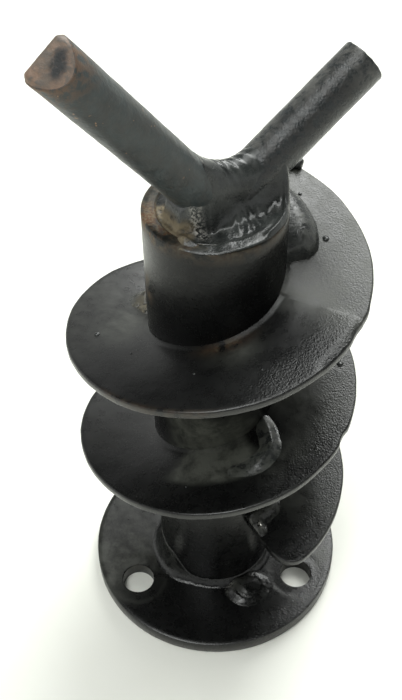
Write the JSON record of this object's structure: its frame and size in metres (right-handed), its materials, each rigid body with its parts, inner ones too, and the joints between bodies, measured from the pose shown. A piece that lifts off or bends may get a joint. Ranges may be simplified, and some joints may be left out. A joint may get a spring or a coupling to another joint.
{
  "type": "burner feed auger",
  "caption": "Welded steel feed auger: bolted round flange, hub tube, right-hand helical flight and a V of round-bar prongs on its end.",
  "frame": {"origin": "centre of the drive flange's underside", "axes": "+Z along the hub tube towards the prongs; +X to the right and +Y away from someone who looks at the side with two bolt holes"},
  "size_m": [0.135, 0.135, 0.3412],
  "materials": {
    "black_paint": "thin black paint with an oily half-gloss, dusty and rubbed",
    "bar_steel": "painted hot-rolled bar, mottled with brown where the paint is thin",
    "weld_metal": "weld metal under thin paint, rippled, with bright spatter and light rust"
  },
  "bodies": {
    "root": {"flange_plate": "black_paint", "hub_tube": "black_paint", "tube_end_plug": "black_paint", "flight_top_section": "black_paint", "flight_upper_turn": "black_paint", "flight_lower_turn": "black_paint", "flight_tail_section": "black_paint", "prong_left": "bar_steel", "prong_right": "bar_steel", "flange_weld": "weld_metal", "flange_weld_mound": "weld_metal", "flight_seam_weld_upper": "weld_metal", "flight_seam_weld_middle": "weld_metal", "flight_seam_weld_lower": "weld_metal", "flight_root_weld": "weld_metal", "upper_weld_lobe": "weld_metal", "side_weld_dollop": "weld_metal", "tail_weld_fill": "weld_metal", "edge_tack_weld": "weld_metal", "middle_weld_bead": "weld_metal", "prong_weld_front": "weld_metal", "prong_weld_back": "weld_metal", "prong_web_weld": "weld_metal"}
  },
  "joints": []
}
